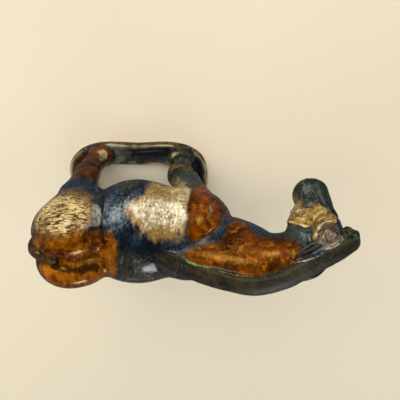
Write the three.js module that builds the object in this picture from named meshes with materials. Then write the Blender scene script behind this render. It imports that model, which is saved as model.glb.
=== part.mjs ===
// A small glazed horse figure standing on an open oval base plate, one solid.
// Millimetres. x points forward to the horse's head, y to its left, z up, and z = 0 is the underside of the base.
// The form is a signed distance field: rounded lobes and tapering limbs that melt into each other,
// with grooves cut away, turned into one closed surface of small facets.
import * as THREE from "three";

// Driving dimensions. Positions are measured from the middle of the body, half way up the barrel.
const BODY_CENTRE = { x: -22.18, y: -3.93, z: 66 };

// Lobes of the body: centre and radii.
const HAUNCH_LEFT = { centre: [-22.3, 6.8, 1], radii: [16.6, 11.6, 19.4] };
const HAUNCH_RIGHT = { centre: [-22.3, -7, 1], radii: [16.8, 11.2, 19.4] };
const THIGH = { centre: [-24.8, 8.3, -14], radii: [10.8, 7.8, 13] };
const BARREL = { centre: [3, -0.3, -6.7], radii: [26, 22, 23] };
const SHOULDER_LEFT = { centre: [24.6, 7.2, -2.5], radii: [15.2, 12.3, 19] };
const SHOULDER_RIGHT = { centre: [24.6, -5, -1.5], radii: [15.2, 11.4, 19] };
const CHEST = { centre: [31.5, 1.5, -6], radii: [12, 12.5, 16] };
const FORELOCK = { centre: [80.4, 17.4, 28.4], radii: [3.5, 3.4, 3.6] };
const EYE_LEFT = { centre: [73.4, 16.4, 27.6], radii: [5.6, 4.6, 5.2] };
const EYE_RIGHT = { centre: [75.4, 8, 23.6], radii: [5, 4, 5] };

// Limbs. Each station: x, y, z, radius in the depth direction, radius across it, depth direction.
const NECK = [
  [22, 0.5, 3, 16, 11, -0.55, -0.05, 0.83],
  [34, 1, 8, 17, 10.2, -0.5, -0.18, 0.85],
  [44, 2.5, 15, 14.5, 8.7, -0.25, -0.25, 0.9],
  [52, 3.5, 20.5, 12, 7.8, -0.05, -0.25, 0.95],
  [61, 5.5, 22.5, 10.8, 7.2, 0.1, -0.15, 0.95],
  [70, 11, 24, 9.5, 6.5, 0.5, -0.1, 0.8],
];
const MANE = [
  [14, 0.3, 15, 2, 2.6, -0.3, 0, 0.95],
  [20, 0.3, 18, 2.7, 3.9, -0.3, 0, 0.95],
  [29.4, -1.6, 22.5, 2.8, 4.1, -0.45, -0.05, 0.9],
  [40.3, -1.3, 28.7, 2.8, 4, -0.35, -0.1, 0.9],
  [48.8, 0, 32.7, 2.8, 3.9, -0.1, -0.15, 0.95],
  [58.3, 3.6, 34.2, 2.8, 3.9, 0.05, -0.2, 0.95],
  [63.9, 7, 34, 2.8, 4.1, 0.1, -0.25, 0.95],
  [70.5, 11, 33.1, 2.9, 4.3, 0.2, -0.25, 0.95],
  [77.6, 14.5, 31, 3.3, 4.2, 0.4, -0.2, 0.9],
  [81.8, 15.5, 28.7, 3.4, 3.9, 0.8, -0.1, 0.5],
];
const EAR_LEFT = [
  [71.5, 16.3, 31, 1.5, 1.4, 0, 0.5, 0.8],
  [68.8, 14.6, 32, 2.1, 1.8, 0, 0.5, 0.8],
  [65.8, 12.7, 32.2, 1.9, 1.7, 0, 0.5, 0.8],
  [63, 11, 31.8, 1, 0.9, 0, 0.5, 0.8],
];
const EAR_RIGHT = [
  [73, 4.9, 28.6, 1.5, 1.4, 0, -0.6, 0.7],
  [70.3, 3.2, 29.4, 2.1, 1.8, 0, -0.6, 0.7],
  [67.3, 1.5, 29.6, 1.9, 1.7, 0, -0.6, 0.7],
  [64.5, -0.2, 29.3, 1, 0.9, 0, -0.6, 0.7],
];
const HEAD = [
  [73, 12.5, 26, 9, 6, 0.98, 0.05, 0.15],
  [71, 16, 21, 9.8, 6, 0.98, 0.05, 0.15],
  [71, 19, 16.8, 8.4, 5.6, 0.98, 0.05, 0.15],
  [72, 21.7, 13.2, 6.4, 5.2, 0.98, 0.05, 0.15],
  [71, 24.8, 8.8, 6.4, 5.4, 0.98, 0.05, 0.15],
];
const TAIL = [
  [-27.5, 0, 17, 1.6, 1.8, 0.6, 0, 0.8],
  [-33.5, 0, 12, 2.8, 3, 0.8, 0, 0.6],
  [-37.1, 0, 6.5, 3.4, 3.4, 1, 0, 0.3],
  [-37.5, 0, -1, 2.7, 2.9, 1, 0, 0],
  [-36.2, 0, -9, 1.8, 2, 1, 0, -0.3],
];
const CROUP_GROOVE = [
  [-7, -0.2, 19, 1, 0.6, 0, 0, 1],
  [-14, -0.2, 21, 2.2, 1.2, 0, 0, 1],
  [-22, -0.2, 21.6, 4.4, 2.2, 0.1, 0, 1],
  [-30, -0.2, 18.6, 4.8, 2.8, 0.5, 0, 0.9],
  [-37, -0.2, 11, 3.8, 3, 0.8, 0, 0.6],
  [-39.5, -0.2, 0, 2.4, 2.6, 1, 0, 0],
];
const HIND_LEG = [
  [-26, 10.3, -22, 8, 6.2, 1, 0, 0],
  [-24.9, 12.2, -33, 6.1, 5.4, 1, 0, 0],
  [-25.3, 12.9, -39.5, 6.1, 5.2, 1, 0, 0],
  [-24.6, 13.6, -48, 5.3, 4.9, 1, 0, 0],
  [-23.7, 14.2, -57, 5.9, 5.5, 1, 0, 0],
  [-23.2, 14.4, -60.2, 6.8, 6.1, 1, 0, 0],
];
const FORELEG = [
  [26.5, 10.5, -18, 7.2, 6.7, 1, 0, 0],
  [24.4, 12.2, -28, 5.8, 5.4, 1, 0, 0],
  [20.6, 12.9, -36, 6.8, 5.7, 1, 0, 0],
  [20.2, 13.3, -45, 5.3, 5, 1, 0, 0],
  [19.2, 13.8, -56, 5.8, 5.5, 1, 0, 0],
  [19.2, 14, -60.2, 6.7, 6.1, 1, 0, 0],
];

// The base plate: an open oval frame with a dished top between an outer and an inner lip.
const BASE = {
  middle: -3.7,
  halfLong: 37,
  halfWide: 21.5,
  outlinePower: 3,
  waist: 0.07,
  waistLength: 14,
  holeHalfLong: 25,
  holeHalfWide: 8.7,
  holePower: 4,
  top: -60.6,
  underside: -66.4,
  lipWidth: 1.7,
  troughDepth: 2.2,
  troughSlope: 3.3,
  edgeRound: 1.3,
};

// How far neighbouring masses melt into each other.
const MELT = {
  haunches: 1.2,
  thigh: 5,
  groove: 2,
  haunchToBarrel: 3,
  shoulders: 8,
  chest: 6,
  front: 5,
  leg: 4,
  base: 2,
  eye: 1.5,
  headToNeck: 3,
  ear: 1.2,
  forelock: 1.5,
  mane: 1.6,
  neckToBody: 1.8,
  tail: 1.4,
};

// Sampling of the surface along each axis: finer cells at the legs, the head and the base plate.
const CELLS_X = [
  { from: -44, to: -16, cell: 2.75 },
  { from: -16, to: 12, cell: 3.6 },
  { from: 12, to: 30, cell: 2.75 },
  { from: 30, to: 60, cell: 3.1 },
  { from: 60, to: 87.5, cell: 2.1 },
];
const CELLS_Y = [
  { from: -25, to: -8, cell: 2.75 },
  { from: -8, to: 8, cell: 2.5 },
  { from: 8, to: 33, cell: 2.6 },
];
const CELLS_Z = [
  { from: -68.4, to: -57.6, cell: 1.5 },
  { from: -57.6, to: -30, cell: 4.3 },
  { from: -30, to: 3, cell: 3.3 },
  { from: 3, to: 39, cell: 2.25 },
];
const SURFACE_STEPS = 4;
const CURVE_PARTS = 3;
const SLOPE_REACH = 0.05;
const CELL_MARGIN = 0.06;

const clamp = (value, low, high) => Math.min(high, Math.max(low, value));
const smooth = (value) => {
  const t = clamp(value, 0, 1);
  return t * t * (3 - 2 * t);
};

// The nearer of two distances, with the corner between them filled to a fillet of the given reach.
function melt(a, b, reach) {
  const near = Math.max(reach - Math.abs(a - b), 0) / reach;
  return Math.min(a, b) - (near * near * reach) / 4;
}

// What is left of form a when form b is cut out of it, with a softened edge.
const carve = (a, b, reach) => -melt(-a, b, reach);

// Distance to an ellipsoid.
function lobe(p, { centre, radii }) {
  let scaled = 0;
  let steep = 0;
  for (let i = 0; i < 3; i += 1) {
    const q = (p[i] - centre[i]) / radii[i];
    scaled += q * q;
    steep += (q / radii[i]) ** 2;
  }
  const k = Math.sqrt(scaled);
  return (k * (k - 1)) / Math.max(Math.sqrt(steep), 1e-9);
}

// The stations of a limb joined by a smooth curve through them, with extra stations between.
function throughStations(stations) {
  const last = stations.length - 1;
  const beyond = (end, inner) => end.map((value, i) => 2 * value - inner[i]);
  const row = [beyond(stations[0], stations[1]), ...stations, beyond(stations[last], stations[last - 1])];
  const curve = [];
  for (let i = 1; i <= last; i += 1) {
    const [a, b, c, d] = row.slice(i - 1, i + 3);
    for (let s = 0; s < CURVE_PARTS; s += 1) {
      const t = s / CURVE_PARTS;
      curve.push(
        b.map((value, n) => {
          const slope = (c[n] - a[n]) * t;
          const bend = (2 * a[n] - 5 * value + 4 * c[n] - d[n]) * t ** 2;
          const twist = (3 * value - 3 * c[n] + d[n] - a[n]) * t ** 3;
          return 0.5 * (2 * value + slope + bend + twist);
        }),
      );
    }
  }
  curve.push(stations[last]);
  return curve;
}

// A limb as a chain of tapering elliptical segments, each with its own axes.
function makeLimb(stations) {
  const curve = throughStations(stations);
  const chain = [];
  for (let i = 0; i + 1 < curve.length; i += 1) {
    const [a, b] = [curve[i], curve[i + 1]];
    const start = new THREE.Vector3(a[0], a[1], a[2]);
    const along = new THREE.Vector3(b[0], b[1], b[2]).sub(start);
    const length = along.length();
    const axis = along.clone().divideScalar(length);
    const depth = new THREE.Vector3(a[5] + b[5], a[6] + b[6], a[7] + b[7]);
    depth.addScaledVector(axis, -depth.dot(axis)).normalize();
    const across = new THREE.Vector3().crossVectors(axis, depth);
    chain.push({ start, length, axis, depth, across, from: [a[3], a[4]], to: [b[3], b[4]] });
  }
  return chain;
}

// Distance to a limb.
function limb(p, chain) {
  let nearest = Infinity;
  for (const part of chain) {
    const x = p[0] - part.start.x;
    const y = p[1] - part.start.y;
    const z = p[2] - part.start.z;
    const far = x * part.axis.x + y * part.axis.y + z * part.axis.z;
    const t = clamp(far / part.length, 0, 1);
    const over = far - t * part.length;
    const deep = x * part.depth.x + y * part.depth.y + z * part.depth.z;
    const wide = x * part.across.x + y * part.across.y + z * part.across.z;
    const depth = part.from[0] + t * (part.to[0] - part.from[0]);
    const width = part.from[1] + t * (part.to[1] - part.from[1]);
    const least = Math.min(depth, width);
    const k = Math.hypot(deep / depth, wide / width, over / least);
    const steep = Math.hypot(deep / depth ** 2, wide / width ** 2, over / least ** 2);
    const distance = k < 1e-6 ? -least : (k * (k - 1)) / Math.max(steep, 1e-9);
    nearest = Math.min(nearest, distance);
  }
  return nearest;
}

// Distance in the ground plane to a superellipse.
function superellipse(x, y, halfLong, halfWide, power) {
  const u = Math.abs(x / halfLong);
  const v = Math.abs(y / halfWide);
  const k = (u ** power + v ** power + 1e-12) ** (1 / power);
  const slope = Math.hypot(u ** (power - 1) / halfLong, v ** (power - 1) / halfWide) / k ** (power - 1);
  return (k - 1) / Math.max(slope, 1e-3);
}

// Distance to the base plate.
function basePlate(p) {
  const x = p[0] - BASE.middle;
  const y = p[1];
  const waist = 1 - BASE.waist * Math.exp(-((x / BASE.waistLength) ** 2));
  const outer = superellipse(x, y, BASE.halfLong, BASE.halfWide * waist, BASE.outlinePower);
  const hole = superellipse(x, y, BASE.holeHalfLong, BASE.holeHalfWide, BASE.holePower);
  const inward = Math.min(-outer, hole);
  const top = BASE.top - BASE.troughDepth * smooth((inward - BASE.lipWidth) / BASE.troughSlope);
  const side = Math.max(outer, -hole) + BASE.edgeRound;
  const half = (top - BASE.underside) / 2;
  const flat = Math.abs(p[2] - BASE.underside - half) - half + BASE.edgeRound;
  return Math.hypot(Math.max(side, 0), Math.max(flat, 0)) + Math.min(Math.max(side, flat), 0) - BASE.edgeRound;
}

const neckChain = makeLimb(NECK);
const maneChain = makeLimb(MANE);
const earLeftChain = makeLimb(EAR_LEFT);
const earRightChain = makeLimb(EAR_RIGHT);
const headChain = makeLimb(HEAD);
const tailChain = makeLimb(TAIL);
const grooveChain = makeLimb(CROUP_GROOVE);
const hindLegChain = makeLimb(HIND_LEG);
const forelegChain = makeLimb(FORELEG);

// Distance to the whole horse: negative inside the clay, zero on its surface.
function horse(p) {
  const mirrored = [p[0], Math.abs(p[1]), p[2]];
  let haunch = melt(lobe(p, HAUNCH_LEFT), lobe(p, HAUNCH_RIGHT), MELT.haunches);
  haunch = melt(haunch, lobe(mirrored, THIGH), MELT.thigh);
  haunch = carve(haunch, limb(p, grooveChain), MELT.groove);
  let front = melt(lobe(p, SHOULDER_LEFT), lobe(p, SHOULDER_RIGHT), MELT.shoulders);
  front = melt(front, lobe(p, CHEST), MELT.chest);
  let body = melt(haunch, lobe(p, BARREL), MELT.haunchToBarrel);
  body = melt(body, front, MELT.front);
  body = melt(body, limb(mirrored, hindLegChain), MELT.leg);
  body = melt(body, limb(mirrored, forelegChain), MELT.leg);
  body = melt(body, basePlate(p), MELT.base);
  let head = melt(limb(p, headChain), lobe(p, EYE_LEFT), MELT.eye);
  head = melt(head, lobe(p, EYE_RIGHT), MELT.eye);
  let neck = melt(limb(p, neckChain), head, MELT.headToNeck);
  neck = melt(neck, limb(p, earLeftChain), MELT.ear);
  neck = melt(neck, limb(p, earRightChain), MELT.ear);
  const mane = melt(limb(p, maneChain), lobe(p, FORELOCK), MELT.forelock);
  neck = melt(neck, mane, MELT.mane);
  body = melt(body, neck, MELT.neckToBody);
  return melt(body, limb(p, tailChain), MELT.tail);
}

// Grid lines of one axis, evenly spaced within each zone.
function gridLines(zones) {
  const lines = [zones[0].from];
  for (const { from, to, cell } of zones) {
    const count = Math.round((to - from) / cell);
    for (let i = 1; i <= count; i += 1) {
      lines.push(from + ((to - from) * i) / count);
    }
  }
  return lines;
}

// The twelve edges of a grid cell, each from one corner of the cell to the next along its axis.
const CELL_EDGES = [];
for (let axis = 0; axis < 3; axis += 1) {
  for (const [u, v] of [[0, 0], [1, 0], [0, 1], [1, 1]]) {
    const from = [0, 0, 0];
    from[(axis + 1) % 3] = u;
    from[(axis + 2) % 3] = v;
    const to = [...from];
    to[axis] = 1;
    CELL_EDGES.push({ axis, from, to });
  }
}

// The six faces of a grid cell, each as its four edges.
const CELL_FACES = [];
for (let axis = 0; axis < 3; axis += 1) {
  for (const side of [0, 1]) {
    const onFace = (edge) => edge.from[axis] === side && edge.to[axis] === side;
    CELL_FACES.push(CELL_EDGES.map((edge, i) => (onFace(edge) ? i : -1)).filter((i) => i >= 0));
  }
}

// The separate patches of surface in one cell, each as the list of cell edges that it crosses.
function patchesIn(valueAt) {
  const crosses = CELL_EDGES.map(({ from, to }) => valueAt(from) < 0 !== valueAt(to) < 0);
  const patch = CELL_EDGES.map((edge, i) => i);
  const join = (m, n) => {
    const [kept, gone] = [patch[m], patch[n]];
    patch.forEach((value, i) => {
      if (value === gone) patch[i] = kept;
    });
  };
  for (const face of CELL_FACES) {
    const crossed = face.filter((i) => crosses[i]);
    for (const m of crossed) {
      for (const n of crossed) {
        const shared = [CELL_EDGES[m].from, CELL_EDGES[m].to].find((corner) => {
          return [CELL_EDGES[n].from, CELL_EDGES[n].to].some((other) => other.join() === corner.join());
        });
        if (m < n && (crossed.length === 2 || (shared && valueAt(shared) < 0))) join(m, n);
      }
    }
  }
  const groups = new Map();
  crosses.forEach((crossed, i) => {
    if (crossed) groups.set(patch[i], [...(groups.get(patch[i]) ?? []), i]);
  });
  return [...groups.values()];
}

// Moves a point along the field's slope onto the surface, without leaving its cell.
function ontoSurface(field, point, low, high) {
  const p = [...point];
  for (let step = 0; step < SURFACE_STEPS; step += 1) {
    const value = field(p);
    const slope = [0, 1, 2].map((axis) => {
      const ahead = [...p];
      const behind = [...p];
      ahead[axis] += SLOPE_REACH;
      behind[axis] -= SLOPE_REACH;
      return (field(ahead) - field(behind)) / (2 * SLOPE_REACH);
    });
    const steep = slope[0] ** 2 + slope[1] ** 2 + slope[2] ** 2;
    const move = clamp(value / Math.max(steep, 0.25), -0.4, 0.4);
    for (let axis = 0; axis < 3; axis += 1) {
      const spare = CELL_MARGIN * (high[axis] - low[axis]);
      p[axis] = clamp(p[axis] - move * slope[axis], low[axis] + spare, high[axis] - spare);
    }
  }
  return p;
}

// One closed surface where the field is zero: a corner for every patch of surface in a cell,
// and a four-sided face around every grid edge that it crosses, cut in two along its shorter diagonal.
function surfaceOf(field, grid) {
  const count = grid.map((lines) => lines.length);
  const index = (c) => (c[0] * count[1] + c[1]) * count[2] + c[2];
  const values = new Float64Array(count[0] * count[1] * count[2]);
  for (let i = 0; i < count[0]; i += 1) {
    for (let j = 0; j < count[1]; j += 1) {
      for (let k = 0; k < count[2]; k += 1) {
        values[index([i, j, k])] = field([grid[0][i], grid[1][j], grid[2][k]]);
      }
    }
  }

  const cornerAt = new Map();
  const corners = [];
  for (let i = 0; i + 1 < count[0]; i += 1) {
    for (let j = 0; j + 1 < count[1]; j += 1) {
      for (let k = 0; k + 1 < count[2]; k += 1) {
        const low = [grid[0][i], grid[1][j], grid[2][k]];
        const high = [grid[0][i + 1], grid[1][j + 1], grid[2][k + 1]];
        const valueAt = (corner) => values[index([i + corner[0], j + corner[1], k + corner[2]])];
        for (const patch of patchesIn(valueAt)) {
          const middle = [0, 0, 0];
          for (const edge of patch) {
            const { from, to } = CELL_EDGES[edge];
            const t = valueAt(from) / (valueAt(from) - valueAt(to));
            for (let axis = 0; axis < 3; axis += 1) {
              const place = from[axis] + t * (to[axis] - from[axis]);
              middle[axis] += (low[axis] + place * (high[axis] - low[axis])) / patch.length;
            }
            cornerAt.set(index([i, j, k]) * 12 + edge, corners.length);
          }
          corners.push(ontoSurface(field, middle, low, high));
        }
      }
    }
  }

  const faces = [];
  for (let axis = 0; axis < 3; axis += 1) {
    const second = (axis + 1) % 3;
    const third = (axis + 2) % 3;
    const c = [0, 0, 0];
    for (c[axis] = 0; c[axis] + 1 < count[axis]; c[axis] += 1) {
      for (c[second] = 1; c[second] + 1 < count[second]; c[second] += 1) {
        for (c[third] = 1; c[third] + 1 < count[third]; c[third] += 1) {
          const next = [...c];
          next[axis] += 1;
          const inside = values[index(c)] < 0;
          if (inside === values[index(next)] < 0) continue;
          const around = [[1, 1], [0, 1], [0, 0], [1, 0]].map(([u, v]) => {
            const cell = [...c];
            cell[second] -= u;
            cell[third] -= v;
            return cornerAt.get(index(cell) * 12 + axis * 4 + u + 2 * v);
          });
          if (!inside) around.reverse();
          faces.push(...cutInTwo(around, corners));
        }
      }
    }
  }
  return { corners, faces };
}

function cutInTwo([a, b, c, d], corners) {
  const apart = (m, n) => Math.hypot(...corners[m].map((value, i) => value - corners[n][i]));
  return apart(a, c) < apart(b, d) ? [a, b, c, a, c, d] : [a, b, d, b, c, d];
}

// The horse in its place, with the underside of its base ground flat.
const surface = surfaceOf(horse, [gridLines(CELLS_X), gridLines(CELLS_Y), gridLines(CELLS_Z)]);
const placed = surface.corners.flatMap(([x, y, z]) => {
  return [x + BODY_CENTRE.x, y + BODY_CENTRE.y, Math.max(z + BODY_CENTRE.z, 0)];
});

const clay = new THREE.BufferGeometry();
clay.setAttribute("position", new THREE.Float32BufferAttribute(placed, 3));
clay.setIndex(surface.faces);
clay.computeVertexNormals();

const glaze = new THREE.MeshStandardMaterial({ color: 0x7a4a22, roughness: 0.25, metalness: 0 });
const horseMesh = new THREE.Mesh(clay, glaze);
horseMesh.name = "horse";

const figure = new THREE.Group();
figure.name = "sancai_horse";
figure.add(horseMesh);

export default figure;
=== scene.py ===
"""A small sancai horse figure: one glazed pottery casting, with its worked surface and its glaze.

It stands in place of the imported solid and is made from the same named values.
"""

import math

import bpy
import numpy as np
from mathutils import Matrix, Vector


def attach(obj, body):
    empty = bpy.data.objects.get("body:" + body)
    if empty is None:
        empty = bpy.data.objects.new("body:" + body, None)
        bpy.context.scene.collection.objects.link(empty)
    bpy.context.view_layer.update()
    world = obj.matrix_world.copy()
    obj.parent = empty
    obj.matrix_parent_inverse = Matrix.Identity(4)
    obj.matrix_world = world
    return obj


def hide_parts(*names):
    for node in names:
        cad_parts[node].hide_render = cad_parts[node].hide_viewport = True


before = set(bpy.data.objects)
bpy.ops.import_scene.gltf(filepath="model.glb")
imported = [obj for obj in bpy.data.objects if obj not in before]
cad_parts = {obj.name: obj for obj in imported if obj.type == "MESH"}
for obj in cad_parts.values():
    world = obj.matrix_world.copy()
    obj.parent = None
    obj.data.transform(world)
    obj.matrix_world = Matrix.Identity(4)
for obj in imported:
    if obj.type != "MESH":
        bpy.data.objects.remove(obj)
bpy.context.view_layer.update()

# Everything below is in millimetres from the middle of the horse's body:
# x forward, y to its left, z up. It is moved into the frame's metres at the end.
BODY_CENTRE = np.array([-22.18, -3.93, 66.0])
MM = 0.001

# Lobes of the body: centre and radii.
HAUNCH_LEFT = ((-22.3, 6.8, 1), (16.6, 11.6, 19.4))
HAUNCH_RIGHT = ((-22.3, -7, 1), (16.8, 11.2, 19.4))
THIGH = ((-24.8, 8.3, -14), (10.8, 7.8, 13))
BARREL = ((3, -0.3, -6.7), (26, 22, 23))
SHOULDER_LEFT = ((24.6, 7.2, -2.5), (15.2, 12.3, 19))
SHOULDER_RIGHT = ((24.6, -5, -1.5), (15.2, 11.4, 19))
CHEST = ((31.5, 1.5, -6), (12, 12.5, 16))
FORELOCK = ((80.4, 17.4, 28.4), (3.5, 3.4, 3.6))
EYE_LEFT = ((73.4, 16.4, 27.6), (5.6, 4.6, 5.2))
EYE_RIGHT = ((75.4, 8, 23.6), (5, 4, 5))

# Limbs. Each station: x, y, z, radius in the depth direction, radius across it, depth direction.
NECK = [
    [22, 0.5, 3, 16, 11, -0.55, -0.05, 0.83],
    [34, 1, 8, 17, 10.2, -0.5, -0.18, 0.85],
    [44, 2.5, 15, 14.5, 8.7, -0.25, -0.25, 0.9],
    [52, 3.5, 20.5, 12, 7.8, -0.05, -0.25, 0.95],
    [61, 5.5, 22.5, 10.8, 7.2, 0.1, -0.15, 0.95],
    [70, 11, 24, 9.5, 6.5, 0.5, -0.1, 0.8],
]
MANE = [
    [14, 0.3, 15, 2, 2.6, -0.3, 0, 0.95],
    [20, 0.3, 18, 2.7, 3.9, -0.3, 0, 0.95],
    [29.4, -1.6, 22.5, 2.8, 4.1, -0.45, -0.05, 0.9],
    [40.3, -1.3, 28.7, 2.8, 4, -0.35, -0.1, 0.9],
    [48.8, 0, 32.7, 2.8, 3.9, -0.1, -0.15, 0.95],
    [58.3, 3.6, 34.2, 2.8, 3.9, 0.05, -0.2, 0.95],
    [63.9, 7, 34, 2.8, 4.1, 0.1, -0.25, 0.95],
    [70.5, 11, 33.1, 2.9, 4.3, 0.2, -0.25, 0.95],
    [77.6, 14.5, 31, 3.3, 4.2, 0.4, -0.2, 0.9],
    [81.8, 15.5, 28.7, 3.4, 3.9, 0.8, -0.1, 0.5],
]
EAR_LEFT = [
    [71.5, 16.3, 31, 1.5, 1.4, 0, 0.5, 0.8],
    [68.8, 14.6, 32, 2.1, 1.8, 0, 0.5, 0.8],
    [65.8, 12.7, 32.2, 1.9, 1.7, 0, 0.5, 0.8],
    [63, 11, 31.8, 1, 0.9, 0, 0.5, 0.8],
]
EAR_RIGHT = [
    [73, 4.9, 28.6, 1.5, 1.4, 0, -0.6, 0.7],
    [70.3, 3.2, 29.4, 2.1, 1.8, 0, -0.6, 0.7],
    [67.3, 1.5, 29.6, 1.9, 1.7, 0, -0.6, 0.7],
    [64.5, -0.2, 29.3, 1, 0.9, 0, -0.6, 0.7],
]
HEAD = [
    [73, 12.5, 26, 9, 6, 0.98, 0.05, 0.15],
    [71, 16, 21, 9.8, 6, 0.98, 0.05, 0.15],
    [71, 19, 16.8, 8.4, 5.6, 0.98, 0.05, 0.15],
    [72, 21.7, 13.2, 6.4, 5.2, 0.98, 0.05, 0.15],
    [71, 24.8, 8.8, 6.4, 5.4, 0.98, 0.05, 0.15],
]
TAIL = [
    [-27.5, 0, 17, 1.6, 1.8, 0.6, 0, 0.8],
    [-33.5, 0, 12, 2.8, 3, 0.8, 0, 0.6],
    [-37.1, 0, 6.5, 3.4, 3.4, 1, 0, 0.3],
    [-37.5, 0, -1, 2.7, 2.9, 1, 0, 0],
    [-36.2, 0, -9, 1.8, 2, 1, 0, -0.3],
]
CROUP_GROOVE = [
    [-7, -0.2, 19, 1, 0.6, 0, 0, 1],
    [-14, -0.2, 21, 2.2, 1.2, 0, 0, 1],
    [-22, -0.2, 21.6, 4.4, 2.2, 0.1, 0, 1],
    [-30, -0.2, 18.6, 4.8, 2.8, 0.5, 0, 0.9],
    [-37, -0.2, 11, 3.8, 3, 0.8, 0, 0.6],
    [-39.5, -0.2, 0, 2.4, 2.6, 1, 0, 0],
]
HIND_LEG = [
    [-26, 10.3, -22, 8, 6.2, 1, 0, 0],
    [-24.9, 12.2, -33, 6.1, 5.4, 1, 0, 0],
    [-25.3, 12.9, -39.5, 6.1, 5.2, 1, 0, 0],
    [-24.6, 13.6, -48, 5.3, 4.9, 1, 0, 0],
    [-23.7, 14.2, -57, 5.9, 5.5, 1, 0, 0],
    [-23.2, 14.4, -60.2, 6.8, 6.1, 1, 0, 0],
]
FORELEG = [
    [26.5, 10.5, -18, 7.2, 6.7, 1, 0, 0],
    [24.4, 12.2, -28, 5.8, 5.4, 1, 0, 0],
    [20.6, 12.9, -36, 6.8, 5.7, 1, 0, 0],
    [20.2, 13.3, -45, 5.3, 5, 1, 0, 0],
    [19.2, 13.8, -56, 5.8, 5.5, 1, 0, 0],
    [19.2, 14, -60.2, 6.7, 6.1, 1, 0, 0],
]

# The open oval base plate, its dished top and its lips.
BASE_MIDDLE = -3.7
BASE_HALF_LONG = 37.0
BASE_HALF_WIDE = 21.5
BASE_POWER = 3
BASE_WAIST = 0.07
BASE_WAIST_LENGTH = 14
HOLE_HALF_LONG = 25.0
HOLE_HALF_WIDE = 8.7
HOLE_POWER = 4
BASE_TOP = -60.6
BASE_UNDERSIDE = -66.4
LIP_WIDTH = 1.7
TROUGH_DEPTH = 2.2
TROUGH_SLOPE = 3.3
BASE_EDGE_ROUND = 1.3

# How far neighbouring masses melt into each other.
MELT = {
    "haunches": 1.2,
    "thigh": 5,
    "groove": 1.4,
    "haunch_to_barrel": 2.4,
    "shoulders": 8,
    "chest": 6,
    "front": 4.5,
    "leg": 4,
    "base": 2,
    "eye": 1.5,
    "head_to_neck": 3,
    "ear": 0.9,
    "forelock": 1.5,
    "mane": 0.8,
    "neck_to_body": 1.6,
    "tail": 1,
}
# A limb isn't worked out further from it than its fillets reach, and counts as far away there.
MELT_REACH = 9.0
FAR = 50.0
TINY = 1e-9

# The photograph's view of the horse: from above its left side, rolled so that its left flank is up.
VIEW_TILT = math.radians(26)
VIEW_RIGHT = np.array([1.0, 0, 0])
VIEW_UP = np.array([0, math.cos(VIEW_TILT), -math.sin(VIEW_TILT)])
VIEW_BACK = np.array([0, math.sin(VIEW_TILT), math.cos(VIEW_TILT)])
VIEW_DISTANCE = 189.0
VIEW_RIGHT_SHIFT = 29.4
VIEW_UP_SHIFT = 15.96
LENS_MM = 40.5

QUICK_CELLS = 1.0


def smooth(t):
    t = np.clip(t, 0, 1)
    return t * t * (3 - 2 * t)


def melt(a, b, reach):
    near = np.maximum(reach - np.abs(a - b), 0) / reach
    return np.minimum(a, b) - near * near * reach / 4


def carve(a, b, reach):
    return -melt(-a, b, reach)


def lobe(points, centre, radii):
    q = (points - np.array(centre, float)) / np.array(radii, float)
    k = np.sqrt((q * q).sum(1))
    steep = np.sqrt(((q / np.array(radii, float)) ** 2).sum(1))
    return k * (k - 1) / np.maximum(steep, TINY)


def through_stations(stations, parts):
    """The stations joined by a smooth curve through them, with extra stations between."""
    rows = np.array(stations, float)
    rows = np.vstack([2 * rows[0] - rows[1], rows, 2 * rows[-1] - rows[-2]])
    curve = []
    for i in range(1, len(rows) - 2):
        a, b, c, d = rows[i - 1 : i + 3]
        for s in range(parts):
            t = s / parts
            slope = (c - a) * t
            bend = (2 * a - 5 * b + 4 * c - d) * t**2
            twist = (3 * b - 3 * c + d - a) * t**3
            curve.append(0.5 * (2 * b + slope + bend + twist))
    curve.append(rows[-2])
    return np.array(curve)


def make_limb(stations, parts=6):
    """A limb as a chain of tapering elliptical segments, each with its own axes, and the box around it."""
    curve = through_stations(stations, parts)
    chain = []
    so_far = 0.0
    for a, b in zip(curve[:-1], curve[1:]):
        along = b[:3] - a[:3]
        length = np.linalg.norm(along)
        axis = along / length
        depth = a[5:8] + b[5:8]
        depth = depth - (depth @ axis) * axis
        depth = depth / np.linalg.norm(depth)
        across = np.cross(axis, depth)
        chain.append((a[:3], length, axis, depth, across, a[3:5], b[3:5], so_far))
        so_far += length
    reach = curve[:, 3:5].max() + MELT_REACH
    return {"chain": chain, "low": curve[:, :3].min(0) - reach, "high": curve[:, :3].max(0) + reach}


def limb(points, made, places=False):
    """Distance to a limb, and with places, where on it each point lies: along, across and out, in mm."""
    near = ((points > made["low"]) & (points < made["high"])).all(1)
    p = points[near]
    best = np.full(len(p), 1e9)
    spot = np.zeros((len(p), 3))
    for start, length, axis, depth, across, first, last, so_far in made["chain"]:
        q = p - start
        far = q @ axis
        t = np.clip(far / length, 0, 1)
        over = far - t * length
        deep, wide = q @ depth, q @ across
        r_deep = first[0] + t * (last[0] - first[0])
        r_wide = first[1] + t * (last[1] - first[1])
        least = np.minimum(r_deep, r_wide)
        k = np.sqrt((deep / r_deep) ** 2 + (wide / r_wide) ** 2 + (over / least) ** 2)
        steep = np.sqrt((deep / r_deep**2) ** 2 + (wide / r_wide**2) ** 2 + (over / least**2) ** 2)
        d = np.where(k < 1e-6, -least, k * (k - 1) / np.maximum(steep, TINY))
        if places:
            closer = d < best
            spot[closer] = np.stack([so_far + t * length, wide, deep], 1)[closer]
        best = np.minimum(best, d)
    distance = np.full(len(points), FAR)
    distance[near] = best
    if not places:
        return distance
    place = np.zeros((len(points), 3))
    place[near] = spot
    return distance, place


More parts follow.
